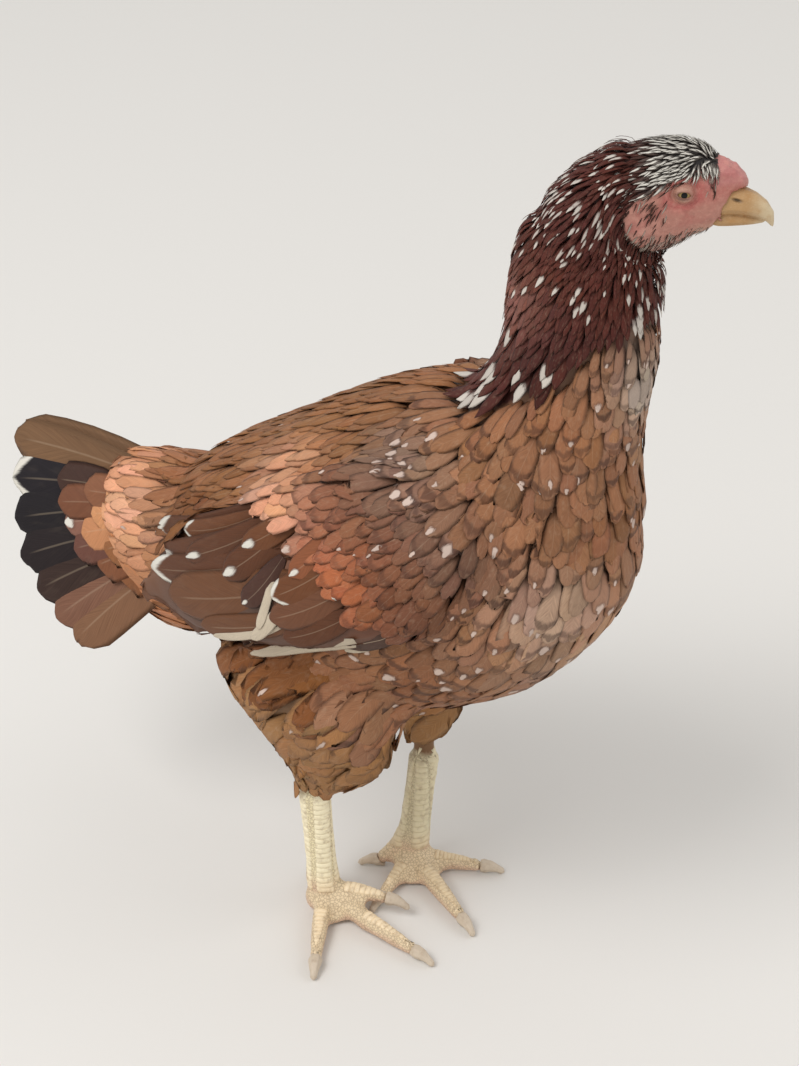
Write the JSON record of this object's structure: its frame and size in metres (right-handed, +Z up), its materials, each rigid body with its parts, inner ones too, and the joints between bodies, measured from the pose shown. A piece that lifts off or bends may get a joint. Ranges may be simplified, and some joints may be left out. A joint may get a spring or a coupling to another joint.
{
  "type": "chicken",
  "caption": "Life-size still model of a standing speckled game hen, head turned a little to its left.",
  "frame": {"origin": "on the floor, below the middle of the bird's box", "axes": "+X towards the breast, +Y to the bird's left, +Z up"},
  "size_m": [0.4192, 0.186, 0.4816],
  "materials": {
    "flesh": "bare dusty pink skin",
    "comb": "low rose-red comb",
    "beak": "satin ochre horn",
    "eye": "wet",
    "hackle": "narrow dark maroon feathers with ivory tips",
    "body_feathers": "cinnamon feathers with dark edges",
    "wing_feathers": "chestnut and brown feathers",
    "tail_feathers": "black and dusty brown stiff feathers",
    "shank": "pale yellow scales",
    "claw": "pinkish horn"
  },
  "bodies": {
    "root": {"head": "flesh", "comb": "comb", "beak_upper": "beak", "beak_lower": "beak", "eye_right": "eye", "eye_left": "eye", "neck": "hackle", "trunk": "body_feathers", "tail_coverts": "body_feathers", "tail_fan": "tail_feathers", "wing_right": "wing_feathers", "thigh_right": "body_feathers", "shank_right": "shank", "foot_right": "shank", "toe_inner_right": "shank", "claw_inner_right": "claw", "toe_middle_right": "shank", "claw_middle_right": "claw", "toe_outer_right": "shank", "claw_outer_right": "claw", "toe_hind_right": "shank", "claw_hind_right": "claw", "wing_left": "wing_feathers", "thigh_left": "body_feathers", "shank_left": "shank", "foot_left": "shank", "toe_inner_left": "shank", "claw_inner_left": "claw", "toe_middle_left": "shank", "claw_middle_left": "claw", "toe_outer_left": "shank", "claw_outer_left": "claw", "toe_hind_left": "shank", "claw_hind_left": "claw"}
  },
  "joints": []
}
